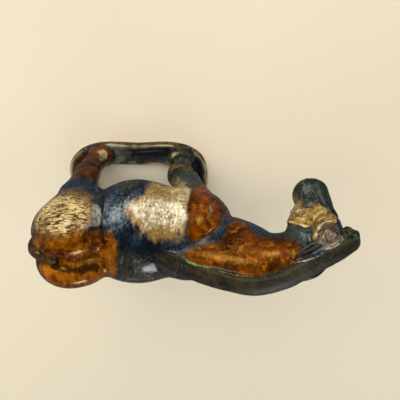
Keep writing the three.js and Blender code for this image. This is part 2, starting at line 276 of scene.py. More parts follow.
def superellipse(x, y, half_long, half_wide, power):
    u, v = np.abs(x / half_long), np.abs(y / half_wide)
    k = (u**power + v**power + 1e-12) ** (1 / power)
    slope = np.hypot(u ** (power - 1) / half_long, v ** (power - 1) / half_wide) / k ** (power - 1)
    return (k - 1) / np.maximum(slope, 1e-3)


def plate_inward(points):
    """How far in from the base plate's nearer rim each point lies, and the distance to its side walls."""
    x, y = points[:, 0] - BASE_MIDDLE, points[:, 1]
    waist = 1 - BASE_WAIST * np.exp(-((x / BASE_WAIST_LENGTH) ** 2))
    outer = superellipse(x, y, BASE_HALF_LONG, BASE_HALF_WIDE * waist, BASE_POWER)
    hole = superellipse(x, y, HOLE_HALF_LONG, HOLE_HALF_WIDE, HOLE_POWER)
    return np.minimum(-outer, hole), np.maximum(outer, -hole)


def base_plate(points):
    distance = np.full(len(points), FAR)
    low = points[:, 2] < BASE_TOP + MELT_REACH
    p = points[low]
    inward, side = plate_inward(p)
    top = BASE_TOP - TROUGH_DEPTH * smooth((inward - LIP_WIDTH) / TROUGH_SLOPE)
    side = side + BASE_EDGE_ROUND
    half = (top - BASE_UNDERSIDE) / 2
    flat = np.abs(p[:, 2] - BASE_UNDERSIDE - half) - half + BASE_EDGE_ROUND
    corner = np.hypot(np.maximum(side, 0), np.maximum(flat, 0))
    distance[low] = corner + np.minimum(np.maximum(side, flat), 0) - BASE_EDGE_ROUND
    return distance


NECK_LIMB = make_limb(NECK, 9)
MANE_LIMB = make_limb(MANE)
EAR_LIMBS = [make_limb(EAR_LEFT), make_limb(EAR_RIGHT)]
HEAD_LIMB = make_limb(HEAD)
TAIL_LIMB = make_limb(TAIL)
GROOVE_LIMB = make_limb(CROUP_GROOVE)
LEG_LIMBS = [make_limb(HIND_LEG), make_limb(FORELEG)]


def horse(points):
    """Signed distance to the whole horse, negative inside the clay."""
    mirrored = points.copy()
    mirrored[:, 1] = np.abs(mirrored[:, 1])
    haunch = melt(lobe(points, *HAUNCH_LEFT), lobe(points, *HAUNCH_RIGHT), MELT["haunches"])
    haunch = melt(haunch, lobe(mirrored, *THIGH), MELT["thigh"])
    haunch = carve(haunch, limb(points, GROOVE_LIMB), MELT["groove"])
    front = melt(lobe(points, *SHOULDER_LEFT), lobe(points, *SHOULDER_RIGHT), MELT["shoulders"])
    front = melt(front, lobe(points, *CHEST), MELT["chest"])
    body = melt(haunch, lobe(points, *BARREL), MELT["haunch_to_barrel"])
    body = melt(body, front, MELT["front"])
    for leg in LEG_LIMBS:
        body = melt(body, limb(mirrored, leg), MELT["leg"])
    body = melt(body, base_plate(points), MELT["base"])
    head = limb(points, HEAD_LIMB)
    for eye in (EYE_LEFT, EYE_RIGHT):
        head = melt(head, lobe(points, *eye), MELT["eye"])
    neck = melt(limb(points, NECK_LIMB), head, MELT["head_to_neck"])
    for ear in EAR_LIMBS:
        neck = melt(neck, limb(points, ear), MELT["ear"])
    mane = melt(limb(points, MANE_LIMB), lobe(points, *FORELOCK), MELT["forelock"])
    neck = melt(neck, mane, MELT["mane"])
    body = melt(body, neck, MELT["neck_to_body"])
    return melt(body, limb(points, TAIL_LIMB), MELT["tail"])


# Sampling of the surface along each axis: first and last place and the size of cell between.
CELLS_X = [(-43, -16, 0.66), (-16, 12, 0.7), (12, 30, 0.66), (30, 60, 0.62), (60, 87, 0.46)]
CELLS_Y = [(-25, -6, 0.68), (-6, 6, 0.6), (6, 33, 0.58)]
CELLS_Z = [(-68, -58, 0.6), (-58, -30, 0.8), (-30, 4, 0.72), (4, 39, 0.5)]
# The field is worked out in blocks of cells near the surface, this many points at once.
BLOCK = 4
BLOCK_MARGIN = 0.4
FIELD_STEEPNESS = 1.7
NOT_NEAR = 9.0
POINTS_AT_ONCE = 50000
# Moving onto the surface: the longest step in mm, and the least slope that is trusted.
LONGEST_STEP = 0.3
LEAST_SLOPE = 0.25


def grid_lines(zones):
    lines = [zones[0][0]]
    for first, last, cell in zones:
        count = round((last - first) / (cell * QUICK_CELLS))
        lines.extend(first + (last - first) * i / count for i in range(1, count + 1))
    return np.array(lines)


def sample_near_surface(field, axes):
    """Field values on the grid: worked out near the surface, and only their sign elsewhere."""
    shape = tuple(len(lines) for lines in axes)
    starts = [np.arange(0, n - 1, BLOCK) for n in shape]
    ends = [np.minimum(s + BLOCK, n - 1) for s, n in zip(starts, shape)]
    middles = [(lines[s] + lines[e]) / 2 for lines, s, e in zip(axes, starts, ends)]
    halves = [(lines[e] - lines[s]) / 2 for lines, s, e in zip(axes, starts, ends)]
    centre = np.stack(np.meshgrid(*middles, indexing="ij"), -1).reshape(-1, 3)
    half = np.stack(np.meshgrid(*halves, indexing="ij"), -1).reshape(-1, 3)
    value = field_in_parts(field, centre).reshape([len(s) for s in starts])
    reach = np.linalg.norm(half, axis=1).reshape(value.shape) * FIELD_STEEPNESS + BLOCK_MARGIN
    values = np.zeros(shape)
    wanted = np.zeros(shape, bool)
    for i, j, k in np.ndindex(value.shape):
        block = tuple(slice(starts[a][n], ends[a][n] + 1) for a, n in enumerate((i, j, k)))
        if abs(value[i, j, k]) < reach[i, j, k]:
            wanted[block] = True
        else:
            values[block] = math.copysign(NOT_NEAR, value[i, j, k])
    at = np.argwhere(wanted)
    points = np.stack([axes[a][at[:, a]] for a in range(3)], 1)
    values[wanted] = field_in_parts(field, points)
    return values


def field_in_parts(field, points):
    pieces = np.array_split(points, max(1, len(points) // POINTS_AT_ONCE))
    return np.concatenate([field(piece) for piece in pieces])


def middle_of_crossings(values, axes, cells):
    """In each cell, the middle of the places where its edges cross the surface."""
    low = np.stack([axes[a][cells[:, a]] for a in range(3)], 1)
    size = np.stack([axes[a][cells[:, a] + 1] for a in range(3)], 1) - low
    total = np.zeros((len(cells), 3))
    hits = np.zeros(len(cells))
    for axis, u, v in np.ndindex(3, 2, 2):
        second, third = (axis + 1) % 3, (axis + 2) % 3
        a = cells.copy()
        a[:, second] += u
        a[:, third] += v
        b = a.copy()
        b[:, axis] += 1
        va, vb = values[tuple(a.T)], values[tuple(b.T)]
        cross = (va < 0) != (vb < 0)
        place = np.zeros((len(cells), 3))
        place[:, second] = u
        place[:, third] = v
        place[:, axis] = np.where(cross, va / np.where(cross, va - vb, 1), 0)
        total += place * cross[:, None]
        hits += cross
    return low + size * total / hits[:, None]


def faces_across(inside, index, axis):
    """Four-sided faces between the four cells round each edge along the axis that crosses the surface."""
    second, third = (axis + 1) % 3, (axis + 2) % 3
    here = [slice(1, -1)] * 3
    here[axis] = slice(0, -1)
    after = list(here)
    after[axis] = slice(1, None)
    first = inside[tuple(here)]
    cross = np.argwhere(first != inside[tuple(after)])
    outward = first[tuple(cross.T)]
    cross[:, second] += 1
    cross[:, third] += 1
    quad = []
    for u, v in ((1, 1), (0, 1), (0, 0), (1, 0)):
        cell = cross.copy()
        cell[:, second] -= u
        cell[:, third] -= v
        quad.append(index[tuple(cell.T)])
    quad = np.stack(quad, 1)
    quad[~outward] = quad[~outward][:, ::-1]
    return quad


def surface_of(field, axes):
    """Corners and four-sided faces of the surface where the field is zero."""
    values = sample_near_surface(field, axes)
    inside = values < 0
    near = [slice(0, -1), slice(1, None)]
    count = sum(inside[near[i], near[j], near[k]].astype(np.int8) for i, j, k in np.ndindex(2, 2, 2))
    mixed = (count > 0) & (count < 8)
    cells = np.argwhere(mixed)
    index = -np.ones(mixed.shape, np.int64)
    index[mixed] = np.arange(len(cells))
    faces = [faces_across(inside, index, axis) for axis in range(3)]
    return middle_of_crossings(values, axes, cells), np.concatenate(faces)


def slope_of(field, points, reach=0.04):
    """The field's value and slope, from four samples around each point."""
    corners = np.array([[1, -1, -1], [-1, -1, 1], [-1, 1, -1], [1, 1, 1]], float)
    samples = [field_in_parts(field, points + reach * corner) for corner in corners]
    slope = sum(s[:, None] * corner for s, corner in zip(samples, corners)) / (4 * reach)
    return sum(samples) / 4, slope


def onto_surface(field, points, steps):
    """Moves the points along the slope onto the surface, and gives the surface's direction there."""
    for _ in range(steps):
        value, slope = slope_of(field, points)
        steep = np.maximum((slope**2).sum(1), LEAST_SLOPE)
        points = points - np.clip(value / steep, -LONGEST_STEP, LONGEST_STEP)[:, None] * slope
    _, slope = slope_of(field, points)
    return points, slope / np.maximum(np.linalg.norm(slope, axis=1), 1e-6)[:, None]


def waves(points, size, seed, count=14):
    """Soft uneven noise of about -1 to 1 whose bumps are about the given size."""
    rng = np.random.default_rng(seed)
    direction = rng.normal(size=(count, 3))
    direction /= np.linalg.norm(direction, axis=1)[:, None]
    pitch = 2 * math.pi / (size * rng.uniform(1.5, 3.0, count))
    phase = rng.uniform(0, 2 * math.pi, count)
    swing = np.sin(points @ (direction * pitch[:, None]).T + phase)
    return swing.sum(1) / math.sqrt(count) * 0.9


# The ridge of the back, the neck and the head: how far to the left it lies at each x.
CREST_X = [22, 44, 58, 64, 70, 78, 82]
CREST_Y = [0, 0, 3.5, 6.5, 10, 13.5, 15.2]
# How far beyond the ridge the photograph still shows, at each x, and over how far the hidden side takes over.
SEEN_X = [24, 34, 45]
SEEN_BEYOND = [15, 7, 1]
TAKES_OVER = 6
# The head is turned, so what its hidden face mirrors lies further forward and lower.
HEAD_FROM = 58
HIDDEN_FACE_BACK = 3
HIDDEN_FACE_UP = 6

# Splashes of glaze on the body, laid out in the plane of the flank: u forward and v up the flank, each blot's
# middle, half length, half width and turn in degrees.
SPLASHES = {
    "saddle": [(5, -11, 14, 8.5, 0), (18, -12, 8, 5, 20)],
    "blue_belt": [(8, 2.5, 17, 6.5, -6), (-9.5, 10, 3.5, 12, 0), (-20, 21.5, 14, 3.5, -8)],
    "amber_haunch": [(-19, -8, 17, 12.5, 0), (-10.5, -1.5, 8.5, 6.5, -10), (-30, -3.5, 7, 6, 0)],
    "cream_haunch": [(-25, 10.8, 12, 9.2, -3), (-15.5, 10, 3, 5, 0)],
    # The pale blue splash is blue glaze and partly a painted reflection.
    "pale_blue_and_sheen": [(-2, 11.5, 6.4, 6.4, 10), (3, 15, 5, 4, 0)],
    "cream_flank": [(14, 11, 11.2, 9.8, 0), (19.5, 17.5, 6.6, 5.6, 0), (5, 13, 4, 4, 30)],
    "tan_flank": [(15.5, 20.5, 8, 4.2, -4), (15, 2.8, 7, 1.6, -8)],
    "olive_flank": [(0.5, 21.8, 3.4, 2.2, 10)],
    "stifle": [(-12, 10.2, 2.6, 4.8, 15)],
    # The shoulder's and the neck's amber splashes carry the same amber glaze, painted darker as shade.
    "shaded_amber_shoulder": [(31.5, 13, 7, 11.4, 0), (37.5, 15, 7, 6, -35), (28, 4.5, 4, 5.5, 0)],
    "shaded_amber_neck": [
        (34, -4.5, 12.5, 4.8, 6),
        (44.5, -1.5, 7, 9.8, 0),
        (55.5, -3.2, 10.8, 5.4, 4),
        (51, -8, 9, 4, 8),
    ],
    "tan_saddle": [(7, -16.5, 9.5, 2.8, 0)],
    "tan_face": [(67, 9.8, 5.8, 3.8, 0), (74, 11.4, 5.5, 3.6, -8)],
    "tan_lip": [(64.9, 15.6, 1.5, 3.2, 14), (64.6, 12.8, 2.4, 2, 0)],
    "cheek_disc": [(73.2, 3.9, 5.4, 4.4, 20)],
    "wear": [(33.8, 12.6, 0.8, 1.7, 20), (32.6, 9.8, 0.6, 1.1, 0)],
}
BLOT_MELT = 2
# Lines of glaze colour along the creases, with their half widths: painted shade and a painted grey gleam in
# the crease between shoulder and neck, painted shade in the croup's groove and in the groin, and a painted
# highlight along a ridge beside the croup's groove.
STROKES = {
    # Painted shade and a painted grey gleam along the crease between shoulder and neck.
    "crease": ([(24.5, -2.2), (30, 0.3), (34, 2.4), (37.5, 6), (39.5, 10.6)], 0.9),
    "croup_shade": ([(-33, -5), (-27, -9.6), (-19, -11.5), (-12, -10.6)], 1.6),
    # A painted highlight along a low ridge beside the croup's groove.
    "croup_lit_ridge": ([(-35, -0.5), (-30, -3.6), (-25, -6.9), (-14, -8.8), (-8.5, -7)], 0.5),
    # Painted shade in the groove between haunch and barrel.
    "groin_shade": ([(-9.8, 19), (-9.3, 12), (-8.6, 4), (-7.5, -1)], 0.5),
}

# Folds of skin on the head: where they run in the plane of the flank, their height and half their width.
FOLDS = [
    ([(60.9, 8.4), (63.9, 7.6), (66.1, 6.5), (67.6, 6.8)], 0.45, 0.55),
    ([(61.6, 9.6), (64.6, 9.1), (67.6, 9.4)], 0.25, 0.4),
    ([(63.1, 11.6), (67.6, 12.6), (70.6, 13.4)], 0.3, 0.45),
    ([(69.5, 9.1), (71.4, 11), (74, 12.1), (77, 12.5)], 0.45, 0.5),
    ([(69.3, 7.5), (71.4, 9.1), (74.4, 10.2), (77, 10.6)], 0.4, 0.4),
    ([(68.7, 2.7), (69.3, 5), (71, 7), (73.6, 8.4), (77, 8.7)], 0.5, 0.5),
    ([(71, 3.2), (72, 5.1), (74, 6.7)], 0.3, 0.3),
    ([(73, 3.6), (74.4, 5.2), (75.9, 6.4)], 0.25, 0.3),
]

# Middles of the two rounded cheeks, and the middles and radii of the pale runs over the hooves.
CHEEK_LEFT = np.array([73.6, 19.7, 30.4])
CHEEK_RIGHT = np.array([76.6, 4.6, 24.4])
HOOF_RUNS = [
    ((-20, 17.6, -54.2), 2.9),
    ((-18.6, 18, -50.6), 2),
    ((17, -17, -54), 3),
    ((-21, -18, -52), 2),
    ((16.5, 17.6, -52.5), 1.6),
]

# Where the glaze of the legs and the hooves begin, the edge between cheek and muzzle, and the nostrils.
LEGS_TOP = -29
HOOF_TOP = -52.6
MUZZLE_FROM = 15.4
MUZZLE_SLANT = 0.75
MUZZLE_BOW = 0.12
NOSTRIL_ALONG = 21.4
NOSTRIL_DEEP = 1.4

# The worked surface of the mane: half its width, its raised rims and the combing slanted across it.
MANE_HALF_WIDTH = 4.0
MANE_RIM = 0.3
MANE_RIM_INSET = 0.7
MANE_SUNK = 0.12
COMBING = 0.035
COMBING_PITCH = 2.3

# Unevenness of the whole skin: the size of the bumps, their height and the seed of their places.
SKIN = [(9, 0.12, 3), (4, 0.025, 5), (2, 0.01, 7)]
# Marks that stand up or lie in: the height, over how far it rises, and its share at the mark's edge.
STEPS = {
    "croup_lit_ridge": (0.35, 0.6, 0.5),
    "croup_shade": (-0.5, 1.4, 0.2),
    "groin_shade": (-0.22, 0.8, 0.5),
    "wear": (-0.2, 0.6, 0.3),
}
EAR_DEPTH = 0.7
# The foot of the base is left unworked, so that it stands flat.
WORKED_FROM = -65
WORKED_OVER = 3
# The usual distance between the mesh's corners, by which hollowness is measured.
CORNER_SPACING = 0.45


def crest_of(x):
    """How far to the left the ridge of the back, the neck and the head lies at each x."""
    return np.interp(x, CREST_X, CREST_Y)


def line_distance(u, v, corners):
    """Distance in the plane from each place to a line through the given corners."""
    nearest = np.full(len(u), FAR)
    for (ua, va), (ub, vb) in zip(corners[:-1], corners[1:]):
        eu, ev = ub - ua, vb - va
        t = np.clip(((u - ua) * eu + (v - va) * ev) / (eu * eu + ev * ev), 0, 1)
        nearest = np.minimum(nearest, np.hypot(u - ua - t * eu, v - va - t * ev))
    return nearest


def splash(u, v, blots):
    """How far inside a splash of glaze each place lies, where the splash is a few ellipses run together."""
    nearest = np.full(len(u), FAR)
    for middle_u, middle_v, half_long, half_wide, turn in blots:
        c, s = math.cos(math.radians(turn)), math.sin(math.radians(turn))
        du, dv = u - middle_u, v - middle_v
        p, q = (du * c + dv * s) / half_long, (dv * c - du * s) / half_wide
        k = np.hypot(p, q)
        steep = np.hypot(p / half_long, q / half_wide)
        nearest = melt(nearest, k * (k - 1) / np.maximum(steep, 1e-6), BLOT_MELT)
    return -nearest


def ridge(distance, half_width):
    return np.exp(-((distance / half_width) ** 2))


def on_the_left(points):
    """The points as mirrored to the left side, and by how much each one belongs to the right side."""
    crest = crest_of(points[:, 0])
    side = points[:, 1] - crest
    seen = np.interp(points[:, 0], SEEN_X, SEEN_BEYOND)
    over = 1 - smooth((side + seen + TAKES_OVER / 2) / TAKES_OVER)
    mirrored = points.copy()
    mirrored[:, 1] = crest - side
    on_head = smooth((points[:, 0] - HEAD_FROM) / 8)
    mirrored[:, 0] -= HIDDEN_FACE_BACK * on_head
    mirrored[:, 2] += HIDDEN_FACE_UP * on_head
    return mirrored, over


def wandered(u, v):
    """Places on the body shifted unevenly, so that the hidden side isn't the mirror image of the seen one."""
    share = 1 - smooth((u - 48) / 10)
    u = u + share * (2 + 3 * np.sin(v / 7) + 1.3 * np.sin(v / 2.6 + 1))
    v = v + share * (2.5 * np.sin(u / 9) + 1.3 * np.sin(u / 2.9))
    return u, v


def glaze_marks(points, normals):
    """Signed distances in mm, positive inside, of every splash and stroke of glaze."""
    mirrored, over = on_the_left(points)
    flipped = normals * np.array([1, -1, 1])
    places = points[:, 0], points @ VIEW_UP
    hidden_places = wandered(mirrored[:, 0], mirrored @ VIEW_UP)
    turned = 12 * np.maximum(-normals @ VIEW_BACK, 0)
    turned_hidden = (12 - 11 * smooth((points[:, 0] - HEAD_FROM) / 6)) * np.maximum(-flipped @ VIEW_BACK, 0)
    above_legs = 4 * np.minimum(points[:, 2] + 31, 0)

    def on_both_sides(inside):
        seen = inside(*places) - turned
        hidden = inside(*hidden_places) - turned_hidden
        return seen + (hidden - seen) * over + above_legs

    marks = {}
    for name, blots in SPLASHES.items():
        marks[name] = on_both_sides(lambda u, v: splash(u, v, blots))
    for name, (corners, half_width) in STROKES.items():
        marks[name] = on_both_sides(lambda u, v: half_width - line_distance(u, v, corners))
    marks["fold"] = fold_height(points)
    return marks


def muzzle_step(head_place):
    """How far past the line between cheek and muzzle each place on the head lies, towards the nose."""
    along, _, deep = head_place.T
    return along - (MUZZLE_FROM - MUZZLE_SLANT * deep - MUZZLE_BOW * np.minimum(deep, 0) * deep)


def fold_height(points):
    """How far the folds of skin on the head stand up, in mm."""
    folded, over = on_the_left(points)
    height = np.zeros(len(points))
    for corners, rise, width in FOLDS:
        seen = line_distance(points[:, 0], points @ VIEW_UP, corners)
        hidden = line_distance(folded[:, 0], folded @ VIEW_UP, corners)
        away = seen + (hidden - seen) * over + 0.25 * waves(points, 3, 21)
        height += rise * (ridge(away, width) - 0.5 * ridge(away - 2.2 * width, width * 0.9))
    _, place = limb(points, HEAD_LIMB, places=True)
    behind_muzzle = 1 - smooth((muzzle_step(place) + 1) / 0.8)
    return height * smooth((points[:, 0] - HEAD_FROM) / 3) * behind_muzzle


def own_skin(part, neighbours):
    """Signed distance in mm, positive where the skin is a part's own and not its neighbours'."""
    return np.clip(np.minimum(neighbours, 0.9) - part, -6, 6)


def part_marks(points):
    """Signed distances in mm, positive on the part, of the mane, ears, muzzle, tail, legs and base plate."""
    mirrored = points.copy()
    mirrored[:, 1] = np.abs(mirrored[:, 1])
    mane = limb(points, MANE_LIMB)
    ears = np.minimum(*[limb(points, ear) for ear in EAR_LIMBS])
    forelock = lobe(points, *FORELOCK)
    head, head_place = limb(points, HEAD_LIMB, places=True)
    neck = np.minimum(head, limb(points, NECK_LIMB))
    neck = np.minimum(neck, np.minimum(lobe(points, *EYE_LEFT), lobe(points, *EYE_RIGHT)))
    rump = np.minimum(lobe(points, *HAUNCH_LEFT), lobe(points, *HAUNCH_RIGHT))
    plate = base_plate(points)
    legs = np.minimum(*[limb(mirrored, leg) for leg in LEG_LIMBS])
    legs_top = LEGS_TOP + 3 * waves(points, 11, 59)
    inward, _ = plate_inward(points)
    runs = [radius - np.linalg.norm(points - np.array(middle), axis=1) for middle, radius in HOOF_RUNS]
    narrowed = 1.1 * smooth((points[:, 0] - 29) / 14)
    return {
        "mane": own_skin(mane, np.minimum(neck, ears) - narrowed),
        "ears": own_skin(ears, np.minimum(neck, mane)),
        "forelock": np.clip(np.minimum(neck, mane + 0.5) - forelock, -6, 6) - 9 * (forelock > 1.2),
        "muzzle": np.clip(np.minimum(muzzle_step(head_place), 2 - head), -6, 6),
        "tail": own_skin(limb(points, TAIL_LIMB), rump),
        "plate": own_skin(plate, legs),
        "legs": np.clip(np.minimum(legs_top - points[:, 2], plate - legs), -8, 8),
        "hoof_run": np.max(runs, axis=0),
        "inward": np.clip(inward, -3, 9),
        "foot": np.clip(BASE_UNDERSIDE + 1.7 - points[:, 2], -4, 4),
    }


def mane_relief(points, marks):
    """A raised rim along both edges of the mane and faint combing slanted across it."""
    _, place = limb(points, MANE_LIMB, places=True)
    from_middle = np.abs(place[:, 1])
    rim = ridge(from_middle - MANE_HALF_WIDTH + MANE_RIM_INSET, 0.5) * smooth(place[:, 2] + 1.2)
    combing = np.sin(2 * math.pi * (place[:, 0] + 0.7 * from_middle) / COMBING_PITCH)
    on_mane = smooth(marks["mane"] / 0.8 + 0.4)
    return on_mane * (MANE_RIM * rim + (COMBING * combing - MANE_SUNK) * (1 - rim))


def ear_hollow(points):
    """How deep in the hollow of an ear's leaf each point lies, from 0 to 1."""
    hollow = np.zeros(len(points))
    for ear in EAR_LIMBS:
        distance, place = limb(points, ear, places=True)
        across, along = ridge(place[:, 1] + 0.2, 0.85), ridge(place[:, 0] - 6.3, 2.4)
        hollow = np.maximum(hollow, across * along * smooth(1 - distance / 0.7) * smooth(place[:, 2] + 0.5))
    return hollow


def cheek_relief(points):
    """A ring round each cheek."""
    height = np.zeros(len(points))
    for middle in (CHEEK_LEFT, CHEEK_RIGHT):
        away = np.linalg.norm(points - middle, axis=1)
        height += 0.2 * ridge(away - 2.1, 0.45) - 0.15 * ridge(away - 3, 0.4)
    return height


def muzzle_relief(points):
    """The rough muzzle, the mouth line that runs on as the muzzle's edge, and the nostrils."""
    distance, place = limb(points, HEAD_LIMB, places=True)
    along, across, deep = place.T
    step = muzzle_step(place)
    mouth = smooth((1.5 - deep) / 5)
    height = smooth(step) * 0.12 * waves(points, 2.6, 43)
    height += 0.3 * smooth(step / 0.9) - (0.25 + 0.7 * mouth) * ridge(step + 0.3, 0.5)
    past_nostril = along - NOSTRIL_ALONG
    from_nostril = np.hypot(past_nostril, (deep - NOSTRIL_DEEP - 0.5 * past_nostril) / 0.6)
    nostril = 0.6 * ridge(from_nostril, 1.1) - 0.1 * ridge(from_nostril - 2.2, 0.7)
    height -= nostril * smooth(np.abs(across) - 1.6)
    return height * smooth(1.4 - distance)


def tail_relief(points, marks):
    """The twisted hair of the tail."""
    _, place = limb(points, TAIL_LIMB, places=True)
    return smooth(marks["tail"] + 0.5) * 0.16 * np.sin(place[:, 1] * 4.2 + 0.3 * place[:, 0])


def leg_relief(points, marks):
    """Uneven legs with a line round the top of each hoof."""
    hoof_line = ridge(points[:, 2] - HOOF_TOP, 0.6)
    return smooth(marks["legs"] / 2) * (0.15 * waves(points, 5, 37) - 0.3 * hoof_line)


def base_relief(points, marks):
    """An uneven base with rolled lips."""
    on_plate = smooth(marks["plate"] / 0.8 + 0.5)
    on_lip = on_plate * smooth((points[:, 2] - BASE_TOP + 1.6) / 0.8)
    return 0.28 * waves(points, 10, 31) * on_plate + 0.45 * on_lip * ridge(marks["inward"] - 1.0, 0.6)


def relief(points, marks):
    """How far the worked surface stands out of the plain form, in mm."""
    height = sum(rise * waves(points, size, seed) for size, rise, seed in SKIN)
    height += mane_relief(points, marks) + cheek_relief(points) + muzzle_relief(points) + marks["fold"]
    height += tail_relief(points, marks) + leg_relief(points, marks) + base_relief(points, marks)
    height += smooth(marks["forelock"] + 0.6) * 0.4 * waves(points, 1.3, 11)
    height -= EAR_DEPTH * marks["ear_hollow"]
    for name, (rise, over, at_edge) in STEPS.items():
        height += rise * smooth(marks[name] / over + at_edge)
    return height


def hollowness(points, quads):
    """How hollow the surface is at each corner, per mm: positive in creases, negative on rims."""
    ends = np.concatenate([quads[:, [0, 1]], quads[:, [1, 2]], quads[:, [2, 3]], quads[:, [3, 0]]])
    a, b = ends.T
    number = np.maximum(np.bincount(a, minlength=len(points)), 1)

    def around(values):
        return np.bincount(a, values[b], minlength=len(points)) / number

    across = np.cross(points[quads[:, 2]] - points[quads[:, 0]], points[quads[:, 3]] - points[quads[:, 1]])
    normal = np.zeros_like(points)
    for corner in range(4):
        np.add.at(normal, quads[:, corner], across)
    normal /= np.maximum(np.linalg.norm(normal, axis=1), TINY)[:, None]
    middle = np.stack([around(points[:, axis]) for axis in range(3)], 1)
    hollow = ((middle - points) * normal).sum(1) / CORNER_SPACING
    for _ in range(3):
        hollow = 0.5 * hollow + 0.5 * around(hollow)
    return hollow


def in_row_frame(points):
    return (points + BODY_CENTRE) * MM


def put_in_scene(name, data):
    made = bpy.data.objects.new(name, data)
    bpy.context.scene.collection.objects.link(made)
    return made


def cast_horse():
    """The horse's fine mesh with its relief and the glaze marks at every corner."""
    axes = [grid_lines(zones) for zones in (CELLS_X, CELLS_Y, CELLS_Z)]
    points, quads = surface_of(horse, axes)
    points, normals = onto_surface(horse, points, 2)
    marks = {**part_marks(points), **glaze_marks(points, normals), "ear_hollow": ear_hollow(points)}
    worked = smooth((points[:, 2] - WORKED_FROM) / WORKED_OVER)
    points = points + normals * (relief(points, marks) * worked)[:, None]
    points[:, 2] = np.maximum(points[:, 2], -BODY_CENTRE[2])
    marks["hollow"] = hollowness(points, quads)
    mesh = bpy.data.meshes.new("horse_relief")
    mesh.from_pydata(in_row_frame(points).tolist(), [], quads.tolist())
    mesh.polygons.foreach_set("use_smooth", np.ones(len(quads), bool))
    for name, values in marks.items():
        layer = mesh.attributes.new(name, "FLOAT", "POINT")
        layer.data.foreach_set("value", values.astype(np.float32))
    mesh.update()
    mesh.validate()
    print("horse_relief", len(quads) * 2, "triangles")
    return put_in_scene("glazed_horse", mesh)


def linear(colour):
    """A screen colour, 0 to 255, as the linear one that the shader takes. A socket stays as it is."""
    if isinstance(colour, bpy.types.NodeSocket):
        return colour
    values = [c / 255 for c in colour]
    return (*[c / 12.92 if c <= 0.04045 else ((c + 0.055) / 1.055) ** 2.4 for c in values], 1)


class Shader:
    """A material's nodes, added one by one."""

    def __init__(self, name):
        self.material = bpy.data.materials.new(name)
        self.material.use_nodes = True
        self.tree = self.material.node_tree
        self.surface = self.tree.nodes["Principled BSDF"].inputs
        self.object_place = self.add("ShaderNodeTexCoord", {})["Object"]

    def connect(self, value, socket):
        if isinstance(value, bpy.types.NodeSocket):
            self.tree.links.new(value, socket)
        else:
            socket.default_value = value

    def add(self, kind, inputs, **settings):
        """The outputs of a new node, with its settings made and its inputs linked or set."""
        node = self.tree.nodes.new(kind)
        for name, value in settings.items():
            setattr(node, name, value)
        for socket, value in inputs.items():
            self.connect(value, node.inputs[socket])
        return node.outputs

    def mark(self, name):
        return self.add("ShaderNodeAttribute", {}, attribute_name=name)["Fac"]

    def noise(self, size, detail=2, stretch=(1, 1, 1), offset=0.0):
        """Noise of 0 to 1 whose bumps are about the given size in mm."""
        where = {"Vector": self.object_place, "Scale": stretch, "Location": (offset, offset, offset)}
        place = self.add("ShaderNodeMapping", where)["Vector"]
        inputs = {"Vector": place, "Scale": 0.5 / (size * MM), "Detail": detail}
        return self.add("ShaderNodeTexNoise", inputs)["Fac"]

    def cells(self, size):
        """Distance from the middles of cells about the given size in mm."""
        inputs = {"Vector": self.object_place, "Scale": 1 / (size * MM)}
        return self.add("ShaderNodeTexVoronoi", inputs)["Distance"]

    def split(self, vector):
        return self.add("ShaderNodeSeparateXYZ", {"Vector": vector})

    def math(self, operation, a, b=0.0):
        return self.add("ShaderNodeMath", {0: a, 1: b}, operation=operation)[0]

    def blend(self, a, b, share):
        """Two values mixed, with the given share of the second."""
        return self.math("ADD", self.math("MULTIPLY", a, 1 - share), self.math("MULTIPLY", b, share))

    def away_from(self, value, middle):
        return self.math("ABSOLUTE", self.math("SUBTRACT", value, middle))

    def ramp(self, value, low, high, start=0.0, end=1.0):
        """The value spread smoothly from start to end as it goes from low to high."""
        inputs = {"Value": value, "From Min": low, "From Max": high, "To Min": start, "To Max": end}
        return self.add("ShaderNodeMapRange", inputs, interpolation_type="SMOOTHSTEP")["Result"]

    def mix(self, share, a, b):
        """Two colours mixed, with the given share of the second."""
        inputs = {"Factor": share, 6: linear(a), 7: linear(b)}
        return self.add("ShaderNodeMix", inputs, data_type="RGBA")[2]

    def darker(self, colour, factor):
        return self.add("ShaderNodeVectorMath", {0: colour, "Scale": factor}, operation="SCALE")[0]

    def bump(self, height, depth_mm):
        return self.add("ShaderNodeBump", {"Height": height, "Distance": depth_mm * MM})["Normal"]


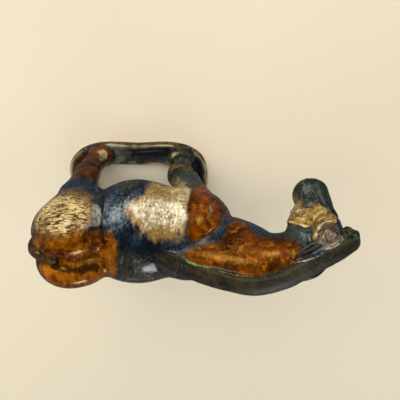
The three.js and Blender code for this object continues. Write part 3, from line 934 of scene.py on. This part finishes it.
# The glazes in the order they lie over one another: the mark, how soft and how ragged its edge is in mm,
# the grain's share of its mottling, and its thin colour, its thick colour and the colour along its edge, as
# screen colours from 0 to 255.
GLAZES = [
    ("saddle", 4, 5, 0.4, (18, 22, 22), (56, 54, 43), (14, 18, 20)),
    ("blue_belt", 3, 5, 0.4, (5, 9, 16), (24, 44, 62), (8, 14, 22)),
    ("amber_haunch", 2, 5, 0.2, (58, 20, 2), (162, 92, 9), (58, 40, 12)),
    ("croup_shade", 1.6, 4, 0.4, (18, 10, 6), (74, 42, 10), (50, 28, 8)),
    ("tan_saddle", 4, 6, 0.5, (28, 26, 20), (106, 92, 60), (34, 32, 26)),
    # Partly blue glaze and partly a painted reflection: its whitish blue stands for the sheen on the glaze
    # there.
    ("pale_blue_and_sheen", 6, 7, 0.6, (10, 20, 32), (158, 174, 180), (18, 30, 44)),
    # The stifle's pale edge colour is a painted highlight round its rim.
    ("stifle", 1, 2, 0.5, (30, 44, 54), (140, 150, 142), (120, 112, 78)),
    ("cream_flank", 2.6, 6, 0.5, (134, 108, 62), (238, 232, 204), (150, 116, 60)),
    ("tan_flank", 6, 6, 0.5, (122, 98, 50), (212, 194, 134), (110, 84, 38)),
    ("olive_flank", 2.4, 4, 0.5, (26, 30, 22), (78, 76, 34), (22, 28, 26)),
    # The cream haunch's brown edge colour is partly glaze and partly painted shade, put there for the shaded
    # top of the haunch.
    ("cream_haunch", 3.6, 5, 0.4, (84, 58, 22), (212, 186, 126), (104, 64, 20)),
    # Painted shade: the shoulder's and the neck's ambers are the haunch's amber painted darker, for the less
    # light that falls on them.
    ("shaded_amber_shoulder", 1.6, 3, 0.2, (36, 10, 1), (122, 60, 5), (36, 14, 4)),
    ("shaded_amber_neck", 2, 4, 0.2, (34, 10, 2), (104, 50, 4), (46, 28, 10)),
    # The crease line is painted shade with a painted grey gleam, standing for the groove between shoulder and
    # neck and its lit edge.
    ("crease", 1.2, 1.6, 0.5, (30, 26, 32), (96, 86, 82), (32, 26, 26)),
    # A painted highlight: pale golden glaze colour along a raised ridge of the croup, where light catches it.
    ("croup_lit_ridge", 0.8, 1.4, 0.5, (76, 42, 12), (168, 118, 46), (66, 38, 12)),
    # The groin line is painted shade: a near-black line in the groove between haunch and barrel.
    ("groin_shade", 0.7, 0.8, 0.5, (10, 13, 15), (24, 28, 28), (10, 13, 15)),
    ("tan_face", 1.8, 4, 0.4, (44, 26, 6), (164, 136, 70), (70, 40, 12)),
    ("cheek_disc", 1.4, 2, 0.5, (32, 20, 22), (118, 104, 82), (112, 94, 66)),
    ("muzzle", 0.5, 0.8, 0.7, (6, 9, 10), (36, 42, 34), (38, 20, 8)),
    ("tan_lip", 1.8, 4, 0.5, (66, 40, 16), (164, 136, 88), (52, 44, 30)),
    ("wear", 0.5, 0.8, 0.5, (92, 58, 22), (168, 138, 84), (40, 16, 4)),
    ("mane", 0.5, 0.4, 0.5, (18, 15, 7), (56, 48, 26), (18, 16, 9)),
    ("ears", 0.1, 0.4, 0.5, (12, 14, 13), (44, 46, 38), (120, 128, 114)),
    ("forelock", 0.6, 1, 0.6, (7, 9, 4), (56, 66, 28), (14, 17, 7)),
    ("tail", 0.8, 1, 0.5, (28, 16, 7), (92, 66, 34), (26, 15, 7)),
]

# The other tones of the glaze. Where there are two, the thin or dark one is first.
GROUND_DARK = (8, 12, 16)
GROUND_PATCHES = (30, 52, 72), (52, 58, 52)
IRON_FLECK = (196, 116, 12)
DASH = (50, 32, 11)
PORE = (70, 52, 30)
HATCH = (120, 96, 54)
# The folds' crest tones are thin glaze and painted highlight on the crests.
FOLD_CREST_LIT = (140, 112, 50), (220, 200, 138)
GREEN_LINE = (40, 62, 14), (128, 140, 74)
GREY_LINE = (52, 60, 58), (168, 176, 162)
# Dark glaze and painted shade in the ears' hollows.
EAR_HOLLOW_SHADE = (26, 26, 20)
HIND_LEG_BROWN = (28, 12, 4), (104, 58, 20)
FORELEG_OLIVE = (24, 38, 28), (92, 74, 36)
FORELEG_DARK = (8, 10, 7)
LIP = (26, 27, 18), (72, 52, 28)
LIP_OLIVE = (104, 98, 70)
# A painted highlight along the crests of the base's lips.
LIP_CREST_HIGHLIGHT = (172, 164, 134)
# The trough's dark tones are dark glaze and painted shade in the recess.
POOL_AND_SHADE = (5, 6, 7), (26, 28, 26)
GREY_RUN = (50, 50, 38), (118, 118, 98)
REAR_END = (40, 22, 10), (98, 64, 34)
HOOF_RUN = (120, 104, 60), (182, 170, 124)
BARE_CLAY = (140, 104, 72), (176, 144, 108)
SCRATCH = (112, 110, 96)
# Near black in the creases: pooled glaze and painted shade.
POOLED_AND_SHADE = (14, 14, 13)
WORN = (176, 158, 116)
GLEAM_GREY = (196, 198, 196)
GLEAM_GOLD = (250, 184, 84)

# How noises are stretched along x, y and z: below 1 draws them out, above 1 presses them together.
DRAWN_ROUND = (1, 0.4, 0.4)
STREAKY = (1, 0.7, 0.7)
DRAWN_ALONG = (0.3, 1.1, 1.1)
HATCHED = (1.2, 0.5, 0.5)


class Glaze(Shader):
    """The glaze's nodes, with the noises that all its colours share."""

    def __init__(self, name):
        super().__init__(name)
        edges = self.blend(self.noise(2.6, 3, DRAWN_ROUND), self.noise(0.9, 3, DRAWN_ROUND, 5), 0.45)
        self.raggedness = self.math("SUBTRACT", edges, 0.5)
        self.cloud = self.blend(self.noise(4.5, 3, offset=3), self.noise(1.5, 4, STREAKY, 23), 0.5)
        self.grain = self.noise(0.45, 4, STREAKY, 7)
        self.broad = self.noise(8, 2, offset=31)
        self.forward = self.math("MULTIPLY", self.split(self.object_place)["X"], 1 / MM)
        self.mottlings = {}

    def mottling(self, grain_share):
        """The share of thick glaze at each place, for the given share of fine grain."""
        if grain_share not in self.mottlings:
            fine = self.blend(self.cloud, self.grain, grain_share)
            self.mottlings[grain_share] = self.ramp(self.blend(fine, self.broad, 0.3), 0.4, 0.6)
        return self.mottlings[grain_share]

    def mottled(self, grain_share, thin, thick):
        return self.mix(self.mottling(grain_share), thin, thick)

    def ragged(self, value, reach):
        """The value made uneven, so that an edge along it is ragged."""
        return self.math("ADD", value, self.math("MULTIPLY", self.raggedness, reach))

    def over(self, below, name, soft, rough, colour, along_edge=None):
        """A glaze laid over the colour below it where its mark is positive, with a soft and ragged edge."""
        edge = self.ragged(self.mark(name), rough * 2)
        if along_edge:
            colour = self.mix(self.ramp(edge, 0, 0.6 + soft, 0.7, 0), colour, along_edge)
        return self.mix(self.ramp(edge, -soft / 2, soft / 2), below, colour)


def flecked(glaze, colour):
    """Golden flecks in the ambers."""
    flecks = glaze.ramp(glaze.noise(1.1, 4, offset=53), 0.52, 0.68, 0, 0.35)
    return glaze.mix(flecks, colour, IRON_FLECK)


def dashed(glaze, colour):
    """Short dark dashes along the haunch."""
    dashes = glaze.ramp(glaze.noise(0.42, 1, DRAWN_ALONG, 13), 0.48, 0.6, 0, 0.95)
    return glaze.mix(dashes, colour, DASH)


def pored(glaze, colour):
    """Dark pores and fine hatching on the flank."""
    colour = glaze.mix(glaze.ramp(glaze.cells(2.6), 0.11, 0.17, 1, 0), colour, PORE)
    hatching = glaze.ramp(glaze.noise(0.4, 2, HATCHED, 29), 0.55, 0.66, 0, 0.45)
    return glaze.mix(hatching, colour, HATCH)


# What some of the glazes have in them besides their mottling.
INCLUSIONS = {
    "amber_haunch": flecked,
    "shaded_amber_shoulder": flecked,
    "shaded_amber_neck": flecked,
    "cream_haunch": dashed,
    "cream_flank": pored,
}


def laid_glazes(glaze):
    """The dark ground, with each glaze of the table laid over it in turn."""
    patches = glaze.mix(glaze.ramp(glaze.broad, 0.44, 0.56), *GROUND_PATCHES)
    colour = glaze.mottled(0.5, GROUND_DARK, patches)
    for name, soft, rough, grain_share, thin, thick, along_edge in GLAZES:
        inner = glaze.mottled(grain_share, thin, thick)
        if name in INCLUSIONS:
            inner = INCLUSIONS[name](glaze, inner)
        colour = glaze.over(colour, name, soft, rough, inner, along_edge)
    return colour


def lit_fold_crests(glaze, colour):
    """Thin, paler glaze on the crests of the folds of the head, with painted highlight there."""
    crest = glaze.ramp(glaze.ragged(glaze.mark("fold"), 0.9), 0.12, 0.36, 0, 0.7)
    return glaze.mix(crest, colour, glaze.mottled(0.9, *FOLD_CREST_LIT))


def mane_line(glaze, colour):
    """A line of pale glaze where the mane meets the neck, green on the neck and grey on the head."""
    edge = glaze.away_from(glaze.mark("mane"), 0.25)
    line = glaze.ramp(glaze.ragged(edge, 1.6), 0.05, 0.26, 0.85, 0)
    line = glaze.math("MULTIPLY", line, glaze.ramp(glaze.forward, -1, 4))
    line = glaze.math("MULTIPLY", line, glaze.ramp(glaze.mark("forelock"), -1, -0.2, 1, 0))
    green, grey = glaze.mottled(0.9, *GREEN_LINE), glaze.mottled(0.9, *GREY_LINE)
    return glaze.mix(line, colour, glaze.mix(glaze.ramp(glaze.forward, 34, 40), green, grey))


def shaded_ear_hollows(glaze, colour):
    """Dark glaze pooled in the hollows of the ears, with painted shade there."""
    return glaze.mix(glaze.ramp(glaze.mark("ear_hollow"), 0.35, 0.7), colour, EAR_HOLLOW_SHADE)


def leg_glaze(glaze, colour):
    """Mottled brown hind legs, and forelegs in blotches of olive, green and black."""
    brown = glaze.mottled(0.2, *HIND_LEG_BROWN)
    olive = glaze.mix(glaze.ramp(glaze.noise(2.2, 3, offset=61), 0.45, 0.58), *FORELEG_OLIVE)
    olive = glaze.mottled(0.4, FORELEG_DARK, olive)
    legs = glaze.mix(glaze.ramp(glaze.forward, -30, -20), brown, olive)
    return glaze.over(colour, "legs", 2.4, 6, legs)


def lip_glaze(glaze):
    """The lips of the base: dark, brown and olive, with a painted highlight, a pale line that comes and goes
    along their crests.
    """
    lip = glaze.mix(glaze.ramp(glaze.broad, 0.44, 0.56), *LIP)
    lip = glaze.mix(glaze.ramp(glaze.cloud, 0.48, 0.6), lip, LIP_OLIVE)
    comes_and_goes = glaze.math("MULTIPLY", glaze.math("SUBTRACT", glaze.broad, 0.5), 3)
    crest = glaze.math("SUBTRACT", glaze.away_from(glaze.mark("inward"), 0.75), comes_and_goes)
    # Painted highlight along the lip crests.
    return glaze.mix(glaze.ramp(crest, -0.2, 0.3, 0.65, 0), lip, LIP_CREST_HIGHLIGHT)


def trough_glaze(glaze):
    """The trough of the base: dark glaze with painted shade, a grey run beside the hind hooves, and brown at
    the rear end.
    """
    run = glaze.ragged(glaze.away_from(glaze.forward, -35.5), 35)
    pool_and_shade = glaze.mix(glaze.ramp(run, 2, 6, 0.75, 0), glaze.mottled(0.6, *POOL_AND_SHADE), glaze.mottled(0.2, *GREY_RUN))
    return glaze.mix(glaze.ramp(glaze.forward, -48, -40), glaze.mottled(0.6, *REAR_END), pool_and_shade)


def base_glaze(glaze, colour):
    """The base plate, and the pale runs that come down over the hooves."""
    plate = glaze.mix(glaze.ramp(glaze.mark("inward"), 1.2, 2.8), lip_glaze(glaze), trough_glaze(glaze))
    colour = glaze.over(colour, "plate", 1, 1, plate)
    return glaze.over(colour, "hoof_run", 1.6, 5, glaze.mottled(0.6, *HOOF_RUN))


def hairlines(glaze, colour):
    """Faint scratches on the saddle and the muzzle, along the contours of a noise."""
    contour = glaze.away_from(glaze.noise(3.5, 4, DRAWN_ROUND, 47), 0.5)
    on_saddle = glaze.ramp(glaze.mark("saddle"), 0, 2)
    scratched = glaze.math("MAXIMUM", on_saddle, glaze.ramp(glaze.mark("muzzle"), 0, 1))
    line = glaze.math("MULTIPLY", glaze.ramp(contour, 0.003, 0.012, 0.5, 0), scratched)
    line = glaze.math("MULTIPLY", line, glaze.ramp(glaze.broad, 0.4, 0.55))
    return glaze.mix(line, colour, SCRATCH)


def shaded_creases_and_worn_rims(glaze, colour):
    """Dark veins, dark glaze pooled in the creases with painted shade there, and thin glaze on the rims."""
    veins = glaze.ramp(glaze.noise(1.9, 5, DRAWN_ROUND, 41), 0.52, 0.66, 0, 0.5)
    colour = glaze.mix(veins, colour, glaze.darker(colour, 0.3))
    hollow = glaze.mark("hollow")
    # Painted shade with pooled glaze: the creases are darkened towards near black.
    colour = glaze.mix(glaze.ramp(hollow, 0.02, 0.22, 0, 0.8), colour, POOLED_AND_SHADE)
    return glaze.mix(glaze.ramp(hollow, -0.12, -0.3, 0, 0.25), colour, WORN)


def matt_share(glaze, bare):
    """How matt each place is: the bare clay most, then the mane, then the muzzle and the trough."""
    matt = glaze.math("MAXIMUM", bare, glaze.ramp(glaze.mark("mane"), 0, 0.5, 0, 0.7))
    matt = glaze.math("MAXIMUM", matt, glaze.ramp(glaze.mark("muzzle"), 0, 0.6, 0, 0.35))
    on_plate = glaze.ramp(glaze.mark("plate"), 0, 0.5, 0, 0.35)
    in_trough = glaze.math("MULTIPLY", glaze.ramp(glaze.mark("inward"), 0.8, 1.6), on_plate)
    return glaze.math("MAXIMUM", matt, in_trough)


def gleam_tint(glaze, colour):
    """Gleams are golden on glaze rich in iron, which has far more red than blue, and grey elsewhere."""
    channels = glaze.split(colour)
    iron = glaze.math("DIVIDE", channels["X"], glaze.math("ADD", channels["Z"], 0.0005))
    return glaze.mix(glaze.ramp(iron, 3.6, 7), GLEAM_GREY, GLEAM_GOLD)


def glazed_earthenware():
    """The horse's one material: layers of glaze, and bare clay at the foot of the base."""
    glaze = Glaze("sancai_glaze")
    colour = laid_glazes(glaze)
    for layer in (lit_fold_crests, mane_line, shaded_ear_hollows, leg_glaze, base_glaze):
        colour = layer(glaze, colour)
    bare = glaze.ramp(glaze.ragged(glaze.mark("foot"), 2), -0.2, 0.2)
    colour = glaze.mix(bare, colour, glaze.mottled(0.6, *BARE_CLAY))
    colour = shaded_creases_and_worn_rims(glaze, hairlines(glaze, colour))
    gloss = glaze.ramp(glaze.grain, 0.3, 0.7, 0.15, 0.3)
    roughness = glaze.math("ADD", gloss, glaze.math("MULTIPLY", matt_share(glaze, bare), 0.5))
    orange_peel = glaze.blend(glaze.grain, glaze.noise(0.4, 2, offset=17), 0.5)
    glaze.connect(colour, glaze.surface["Base Color"])
    glaze.connect(gleam_tint(glaze, colour), glaze.surface["Specular Tint"])
    glaze.connect(roughness, glaze.surface["Roughness"])
    glaze.connect(glaze.bump(orange_peel, 0.08), glaze.surface["Normal"])
    glaze.surface["Specular IOR Level"].default_value = 0.4
    return glaze.material


# The floor and the lamps, in metres and watts.
FLOOR_REACH = 0.8
FLOOR_TONES = (236, 222, 194), (241, 228, 200)
LAMP_DISTANCE = 1.1
LAMPS_AIM = Vector((0, 0, 0.06))
WARM = (1.0, 0.97, 0.93)
COOL = (0.93, 0.96, 1.0)
# Wide lamps light the horse and stay out of its reflections: direction, width, height, watts and colour.
WIDE_LAMPS = {
    "window": ((-0.12, 1, 0.12), 1.2, 0.7, 10.5, WARM),
    "sky": ((-0.25, 0.5, 0.8), 1.0, 1.0, 10, WARM),
    "right_fill": ((0.15, -1, 0.15), 1.0, 0.6, 6, COOL),
    "front_fill": ((1, -0.1, 0.2), 0.8, 0.6, 4, COOL),
    "back_fill": ((-1, -0.2, 0.3), 0.8, 0.6, 4, COOL),
}
# Small lamps give only the gleams.
GLEAM_LAMPS = {
    "glint_level": ((-0.16, 0.97, 0.02), 0.22, 0.22, 3, WARM),
    "glint_ahead": ((0.5, 0.85, 0.1), 0.3, 0.3, 4, WARM),
    "glint_right": ((0.2, -0.9, 0.5), 0.4, 0.3, 7, COOL),
    "glint_behind": ((-0.58, 0.75, 0.32), 0.3, 0.3, 4, WARM),
}
ROOM_COLOUR = (0.9, 0.95, 1.0, 1)
ROOM_STRENGTH = 0.16


def pale_floor():
    mesh = bpy.data.meshes.new("floor")
    corners = [(x * FLOOR_REACH, y * FLOOR_REACH, 0) for x, y in ((-1, -1), (1, -1), (1, 1), (-1, 1))]
    mesh.from_pydata(corners, [], [(0, 1, 2, 3)])
    shader = Shader("pale_floor")
    shader.connect(shader.mix(shader.noise(60), *FLOOR_TONES), shader.surface["Base Color"])
    shader.surface["Roughness"].default_value = 0.9
    mesh.materials.append(shader.material)
    floor = put_in_scene("floor", mesh)
    floor.visible_glossy = False
    return floor


def area_light(name, towards, width, height, watts, colour, only_gleams):
    """A soft lamp in the given direction from the horse, which gives either its gleams or its matt light."""
    light = bpy.data.lights.new(name, "AREA")
    light.shape = "RECTANGLE"
    light.size = width
    light.size_y = height
    light.energy = watts
    light.color = colour
    lamp = put_in_scene(name, light)
    lamp.location = LAMPS_AIM + Vector(towards).normalized() * LAMP_DISTANCE
    lamp.rotation_euler = Vector(towards).to_track_quat("Z", "Y").to_euler()
    lamp.visible_glossy = only_gleams
    lamp.visible_diffuse = not only_gleams
    return lamp


def set_lights():
    """A wide window at the horse's left, softer light from the other sides, small lamps and a soft room."""
    lamps = [area_light(name, *lamp, only_gleams=False) for name, lamp in WIDE_LAMPS.items()]
    lamps += [area_light(name, *lamp, only_gleams=True) for name, lamp in GLEAM_LAMPS.items()]
    world = bpy.data.worlds.new("soft_room")
    world.use_nodes = True
    background = world.node_tree.nodes["Background"]
    background.inputs["Color"].default_value = ROOM_COLOUR
    background.inputs["Strength"].default_value = ROOM_STRENGTH
    bpy.context.scene.world = world
    return lamps


def photo_camera():
    """The camera at the photograph's angle to the horse."""
    place = VIEW_BACK * VIEW_DISTANCE + VIEW_RIGHT * VIEW_RIGHT_SHIFT + VIEW_UP * VIEW_UP_SHIFT
    lens = bpy.data.cameras.new("photo_view")
    lens.lens = LENS_MM
    lens.clip_start = 0.01
    camera = put_in_scene("photo_view", lens)
    columns = Matrix((VIEW_RIGHT, VIEW_UP, VIEW_BACK)).transposed().to_4x4()
    camera.matrix_world = Matrix.Translation(Vector(in_row_frame(place))) @ columns
    bpy.context.scene.camera = camera


horse_piece = cast_horse()
horse_piece.data.materials.append(glazed_earthenware())
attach(horse_piece, "root")
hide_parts("horse")

pale_floor()
set_lights()
photo_camera()
bpy.context.scene.view_settings.view_transform = "Standard"
